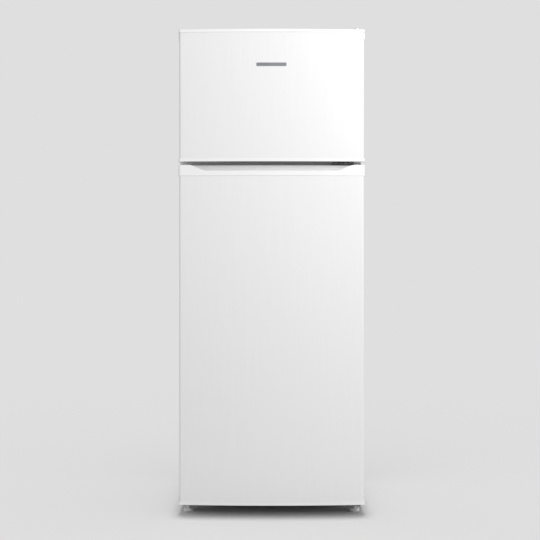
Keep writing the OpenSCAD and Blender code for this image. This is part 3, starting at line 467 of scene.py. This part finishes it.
def make_piece(name, verts, faces, slot, body, *stands_for):
    """A mesh object that rides on a body and may stand for CAD nodes."""
    mesh = bpy.data.meshes.new(name)
    mesh.from_pydata([tuple(v) for v in verts], [], faces)
    work = bmesh.new()
    work.from_mesh(mesh)
    bmesh.ops.remove_doubles(work, verts=work.verts, dist=1e-7)
    bmesh.ops.recalc_face_normals(work, faces=work.faces)
    work.to_mesh(mesh)
    work.free()
    mesh.shade_smooth()
    mesh.set_sharp_from_angle(angle=SMOOTH)
    mesh.materials.append(MATERIALS[slot])
    piece = bpy.data.objects.new(name, mesh)
    scene.collection.objects.link(piece)
    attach(piece, body)
    if stands_for:
        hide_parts(*stands_for)
    return piece


def turn_angles(sides):
    """Even angles round a full turn."""
    return [2 * math.pi * k / sides for k in range(sides)]


class Shape:
    """Vertices and faces gathered from several closed forms."""

    def __init__(self):
        self.verts = []
        self.faces = []

    def add(self, verts, faces):
        base = len(self.verts)
        self.verts += verts
        self.faces += [tuple(base + i for i in face) for face in faces]

    def rings(self, rings, closed_path=False):
        """A skin over rings of equally many points, capped unless the last ring joins the first."""
        n = len(rings[0])
        count = len(rings)
        faces = []
        for i in range(count if closed_path else count - 1):
            here = i * n
            there = (i + 1) % count * n
            for j in range(n):
                k = (j + 1) % n
                faces.append((here + j, here + k, there + k, there + j))
        if not closed_path:
            faces += [tuple(range(n)), tuple(range((count - 1) * n, count * n))]
        self.add([point for ring in rings for point in ring], faces)

    def lathe(self, profile, sides, matrix, radius_at):
        """A form about Z from (radius, height) pairs, whose radius may change round the turn."""
        rings = []
        for r, z in profile:
            ring = []
            for t in turn_angles(sides):
                across = radius_at(r, z, t)
                ring.append(matrix @ Vector((across * math.cos(t), across * math.sin(t), z)))
            rings.append(ring)
        self.rings(rings)

    def tube(self, path, radius, sides=8):
        """A round bar along a path of points, with closed ends."""
        rings = []
        up = Vector((0, 0, 1))
        for i, point in enumerate(path):
            ahead = path[min(i + 1, len(path) - 1)] - path[max(i - 1, 0)]
            ahead.normalize()
            across = ahead.cross(up if abs(ahead.z) < 0.9 else Vector((0, 1, 0))).normalized()
            rise = across.cross(ahead)
            rings.append([point + radius * (math.cos(t) * across + math.sin(t) * rise)
                          for t in turn_angles(sides)])
        self.rings(rings)


def smooth_loop(points, steps):
    """A closed curve through points, as a Catmull-Rom spline."""
    out = []
    n = len(points)
    for i in range(n):
        p0, p1, p2, p3 = (Vector(points[(i + k - 1) % n]) for k in range(4))
        for k in range(steps):
            t = k / steps
            out.append(0.5 * (2 * p1 + (p2 - p0) * t + (2 * p0 - 5 * p1 + 4 * p2 - p3) * t * t
                              + (3 * p1 - p0 - 3 * p2 + p3) * t ** 3))
    return out


def loose_boxes(node):
    """The box of each separate solid of a CAD node, as pairs of corners, sorted by the lowest."""
    work = bmesh.new()
    work.from_mesh(frame["nodes"][node].data)
    bmesh.ops.remove_doubles(work, verts=work.verts, dist=WELD_GAP)
    left = set(work.verts)
    boxes = []
    while left:
        reached = [left.pop()]
        island = list(reached)
        while reached:
            for edge in reached.pop().link_edges:
                for vert in edge.verts:
                    if vert in left:
                        left.remove(vert)
                        reached.append(vert)
                        island.append(vert)
        axes = list(zip(*(vert.co for vert in island)))
        boxes.append((Vector(map(min, axes)), Vector(map(max, axes))))
    work.free()
    return sorted(boxes, key=lambda box: tuple(box[0]))


# Section of a gasket: how far out from its inner edge, and how far from the door, in millimetres
GASKET_SECTION = [(2, 0), (9, 0), (16, 0), (17.4, 1.2), (16.4, 3.0), (14.9, 4.4), (16.4, 5.8),
                  (17.8, 7.4), (17.8, 9.6), (16.2, 11), (9, 11), (2.4, 11), (0.4, 9.8), (0.4, 7.6),
                  (2.6, 6.0), (4.2, 4.5), (2.4, 3.2), (0.3, 1.8)]
GASKET_WIDTH = 18 * MM
GASKET_THICK = 11 * MM


def make_gasket(node):
    """A bellows gasket with mitred corners, welded from four straight lengths."""
    low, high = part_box(node)
    section = smooth_loop([(u * MM, t * MM) for u, t in GASKET_SECTION], 3)
    stretch = (high[1] - low[1]) / (GASKET_THICK + 0.15 * MM)
    corners = []
    for right, top in ((0, 0), (1, 0), (1, 1), (0, 1)):
        ring = []
        for u, t in section:
            inset = GASKET_WIDTH - min(max(u, 0), GASKET_WIDTH)
            x = high[0] - inset if right else low[0] + inset
            z = high[2] - inset if top else low[2] + inset
            y = low[1] + min(max(t, 0), GASKET_THICK) * stretch
            ring.append(Vector((x, y, z)))
        corners.append(ring)
    shape = Shape()
    shape.rings(corners, closed_path=True)
    make_piece(node + "_bellows", shape.verts, shape.faces, SLOT_OF[node], BODY_OF[node], node)


def make_cap_lips(door, low_cap, high_cap):
    """What hides the foam at a door's end caps.

    Flat lips run in under the liner, and a floor closes the spare pin hole opposite each bush.
    """
    foam_low, foam_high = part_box(door + "_foam")
    bush_low, bush_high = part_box(door + "_bushes")
    hole_x = -(bush_low[0] + bush_high[0]) / 2
    hole_y = (bush_low[1] + bush_high[1]) / 2
    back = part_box(low_cap)[1][1]
    lip = (back - 0.3 * MM, back + 0.15 * MM)
    outer = foam_high[0] + 0.25 * MM
    inner = outer - 12 * MM
    shape = Shape()
    for end, inward, sign in ((foam_low[2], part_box(low_cap)[1][2], 1),
                              (foam_high[2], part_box(high_cap)[0][2], -1)):
        web = end + sign * 6 * MM
        outline = [(-outer, inward), (-outer, end), (outer, end), (outer, inward),
                   (inner, inward), (inner, web), (-inner, web), (-inner, inward)]
        shape.rings([[Vector((x, y, z)) for x, z in outline] for y in lip])
        hole_floor = (end - sign * 0.05 * MM, end + sign * 0.4 * MM)
        shape.tube([Vector((hole_x, hole_y, z)) for z in hole_floor], 5.5 * MM, 24)
    make_piece(door + "_cap_lips", shape.verts, shape.faces, SLOT_OF[low_cap], BODY_OF[low_cap])


def screw_head(shape, place, turn, radius, height):
    """A domed head with a cross recess. Its base is at place."""
    matrix = Matrix.Translation(place) @ turn
    steps = 14
    sides = 40
    slot = 0.26 * radius
    reach = 0.58 * radius

    def sunk(x, y):
        near, far = sorted((abs(x), abs(y)))
        return 0.5 * height if near < slot / 2 and far < reach else 0.0

    rings = [[matrix @ Vector((radius * math.cos(t), radius * math.sin(t), 0))
              for t in turn_angles(sides)]]
    for i in range(steps + 1):
        share = 1 - i / steps
        dome = height * (0.4 + 0.6 * math.sqrt(max(0.0, 1 - share * share)))
        ring = []
        for t in turn_angles(sides):
            x = radius * share * math.cos(t)
            y = radius * share * math.sin(t)
            ring.append(matrix @ Vector((x, y, dome - sunk(x, y))))
        rings.append(ring)
    shape.rings(rings)


def make_screws():
    """The screws of the hinges and foot brackets, in place of their plain CAD solids.

    Those through the cabinet's top and its underside stand upright, and the middle hinge's lie
    from front to back.
    """
    node = "hinge_screws"
    alike = 0.1 * MM
    shape = Shape()
    for low, high in loose_boxes(node):
        middle = (low + high) / 2
        size = high - low
        if size.x - size.z > alike and abs(size.x - size.y) < alike:
            height = 3.5 * MM
            on_top = low.z > cad_box[1][2] / 2
            place = Vector((middle.x, middle.y, high.z - height if on_top else low.z + height))
            turn = Matrix.Identity(4) if on_top else Matrix.Rotation(math.pi, 4, "X")
            stem = Vector((0, 0, -3 * MM if on_top else 4 * MM))
            shape.tube([place + stem, place], 2.45 * MM, 20)
        else:
            height = 2.2 * MM
            place = Vector((middle.x, low.y + height, middle.z))
            turn = Matrix.Rotation(math.pi / 2, 4, "X")
            stem = Vector((0, 2 * MM, 0))
            shape.tube([place, place + stem], 1.7 * MM, 20)
        screw_head(shape, place, turn, size.x / 2, height)
    make_piece("cross_head_screws", shape.verts, shape.faces, SLOT_OF[node], BODY_OF[node], node)


def make_knob():
    """A ribbed thermostat knob with a finger bar and six raised ticks on its face."""
    node = "thermostat_knob"
    low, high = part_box(node)
    face = low[1] + 4 * MM
    radius = (high[0] - low[0]) / 2
    middle = Vector(((low[0] + high[0]) / 2, face, (low[2] + high[2]) / 2))
    turn = Matrix.Translation(middle) @ Matrix.Rotation(-math.pi / 2, 4, "X")

    def ribbed(r, z, t):
        rim = r > radius - 1.2 * MM and 1.5 * MM < z < 10.8 * MM
        return r - (0.45 * MM * (1 + math.cos(28 * t)) if rim else 0.0)

    shape = Shape()
    profile = [(0.2 * MM, 0.4 * MM), (radius - 2.4 * MM, 0.4 * MM), (radius - 1.4 * MM, 0.1 * MM),
               (radius - 0.5 * MM, 0.7 * MM), (radius, 1.8 * MM), (radius, 10.4 * MM),
               (radius - 0.6 * MM, 11.3 * MM), (3 * MM, 11.5 * MM), (2.95 * MM, high[1] - face)]
    shape.lathe(profile, 224, turn, ribbed)

    bar_half = 15 * MM
    bar = []
    for k in range(13):
        z = -bar_half + 2 * bar_half * k / 12
        swell = math.sqrt(max(0.0, 1 - (z / (bar_half + 0.6 * MM)) ** 2))
        half = 2.5 * MM * (0.55 + 0.45 * swell)
        tall = 4 * MM * (0.45 + 0.55 * swell)
        section = [(-half, 0.5 * MM), (-half * 0.8, -tall * 0.8), (-half * 0.45, -tall),
                   (half * 0.45, -tall), (half * 0.8, -tall * 0.8), (half, 0.5 * MM)]
        bar.append([middle + Vector((x, y, z)) for x, y in section])
    shape.rings(bar)

    for degrees in (-135, -90, -45, 45, 90, 135):
        t = math.radians(degrees)
        out = Vector((math.sin(t), 0, math.cos(t)))
        ends = [middle + Vector((0, 0.35 * MM, 0)) + out * r * MM for r in (10.5, 13.6)]
        shape.tube(ends, 0.45 * MM)
    make_piece("ribbed_knob", shape.verts, shape.faces, SLOT_OF[node], BODY_OF[node], node)


def make_foot(node):
    """A screw foot with a fluted rim, a rounded sole and a threaded stem."""
    low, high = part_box(node)
    radius = (high[0] - low[0]) / 2
    top = high[2] - low[2]
    stem = 4 * MM
    collar = 14 * MM
    turns = 22
    pitch = (top - collar - MM) / turns

    def fluted(r, z, t):
        rim = r > radius - 0.8 * MM and 1.6 * MM < z < 7.9 * MM
        return r - (0.5 * MM * (1 - math.cos(18 * t)) if rim else 0.0)

    thread = [(stem - 0.45 * MM * (k % 2), collar + 0.4 * MM + k * pitch / 2)
              for k in range(2 * turns + 1)]
    profile = [(0.2 * MM, 0), (radius - 1.5 * MM, 0), (radius - 0.5 * MM, 0.5 * MM),
               (radius, 1.7 * MM), (radius, 7.8 * MM), (radius - 1.0 * MM, 8.8 * MM),
               (radius - 3 * MM, 10 * MM), (6.5 * MM, 10 * MM), (6.5 * MM, collar)]
    profile += thread + [(3.2 * MM, top), (0.2 * MM, top)]
    centre = Vector(((low[0] + high[0]) / 2, (low[1] + high[1]) / 2, low[2]))
    shape = Shape()
    shape.lathe(profile, 144, Matrix.Translation(centre), fluted)
    make_piece(node + "_fluted", shape.verts, shape.faces, SLOT_OF[node], BODY_OF[node], node)


def corner_path(half, back, front, corner, z):
    """Points along a tray's side, round its front corners and back along the other side."""
    steps = 8
    points = [Vector((-half, back, z))]
    for sign, start in ((-1, 180), (1, 90)):
        for k in range(steps + 1):
            t = math.radians(start - 90 * k / steps)
            points.append(Vector((sign * (half - corner) + corner * math.cos(t),
                                  front - corner + corner * math.sin(t), z)))
    points.append(Vector((half, back, z)))
    return points


def make_rack_beads(node):
    """A rolled rim and two pressed beads on each tray of a door."""
    rim = 1.7 * MM
    bead = 0.9 * MM
    shape = Shape()
    corner = 15 * MM
    for low, high in loose_boxes(node):
        half = high.x - rim + 0.3 * MM
        back = low.y + 4 * MM
        front = high.y - rim + 0.6 * MM
        shape.tube(corner_path(half, back, front, corner, high.z - rim), rim, 10)
        for share in (0.28, 0.44):
            z = low.z + share * (high.z - low.z)
            front = high.y - 0.2 * MM
            line = corner_path(high.x - bead, back + 20 * MM, front, corner + MM, z)
            shape.tube(line, bead)
    make_piece(node + "_beads", shape.verts, shape.faces, SLOT_OF[node], BODY_OF[node])


def make_crisper_rim():
    """A rolled rim along the sides and a grip lip on the crisper drawer."""
    node = "crisper_drawer"
    low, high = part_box(node)
    shape = Shape()
    corner = 14 * MM
    rim = 1.6 * MM
    front = low[1] + corner
    back = high[1] - corner
    steps = 20
    grip_half = 66
    for sign in (-1, 1):
        x = sign * (high[0] - rim + 0.2 * MM)
        ys = [front + (back - front) * k / steps for k in range(steps + 1)]
        shape.tube([Vector((x, y, high[2] - rim)) for y in ys], rim, 10)
    grip = [Vector((x * MM, low[1] + 1.2 * MM, high[2] - 22 * MM))
            for x in range(-grip_half, grip_half + 1, 6)]
    shape.tube(grip, 1.9 * MM, 12)
    make_piece("crisper_rim", shape.verts, shape.faces, SLOT_OF[node], BODY_OF[node])


def make_cover_ribs():
    """Diffusing ribs across the underside of the lamp's cover."""
    node = "light_cover"
    low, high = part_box(node)
    shape = Shape()
    count = 13
    edge = 5 * MM
    rib_half = 40
    for k in range(count):
        y = low[1] + edge + k * (high[1] - low[1] - 2 * edge) / (count - 1)
        line = [Vector((x * MM, y, low[2] + 0.1 * MM)) for x in range(-rib_half, rib_half + 1, 8)]
        shape.tube(line, MM)
    make_piece("light_cover_ribs", shape.verts, shape.faces, SLOT_OF[node], BODY_OF[node])


def make_back_screws():
    """Screws that hold the back panel, along both sides and across the top and the bottom."""
    node = "back_panel"
    low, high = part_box(node)
    edge = 9 * MM
    per_side = 7
    rise = (high[2] - low[2] - 2 * edge) / (per_side - 1)
    turn = Matrix.Rotation(-math.pi / 2, 4, "X")
    places = [(sign * (high[0] - edge), low[2] + edge + k * rise)
              for sign in (-1, 1) for k in range(per_side)]
    places += [(x * MM, z) for z in (high[2] - edge, low[2] + edge) for x in (-90, 90)]
    shape = Shape()
    for x, z in places:
        screw_head(shape, Vector((x, high[1], z)), turn, 3.6 * MM, 2.0 * MM)
    make_piece("back_panel_screws", shape.verts, shape.faces, "zinc_steel", BODY_OF[node])


for door in ("freezer_door", "fridge_door"):
    make_gasket(door + "_gasket")
    make_rack_beads(door + "_racks")
make_cap_lips("freezer_door", "freezer_door_bottom_cap", "freezer_door_top_cap")
make_cap_lips("fridge_door", "fridge_door_bottom_cap", "fridge_door_handle_cap")
make_screws()
make_knob()
for foot in ("front_left_foot", "front_right_foot"):
    make_foot(foot)
make_crisper_rim()
make_cover_ribs()
make_back_screws()
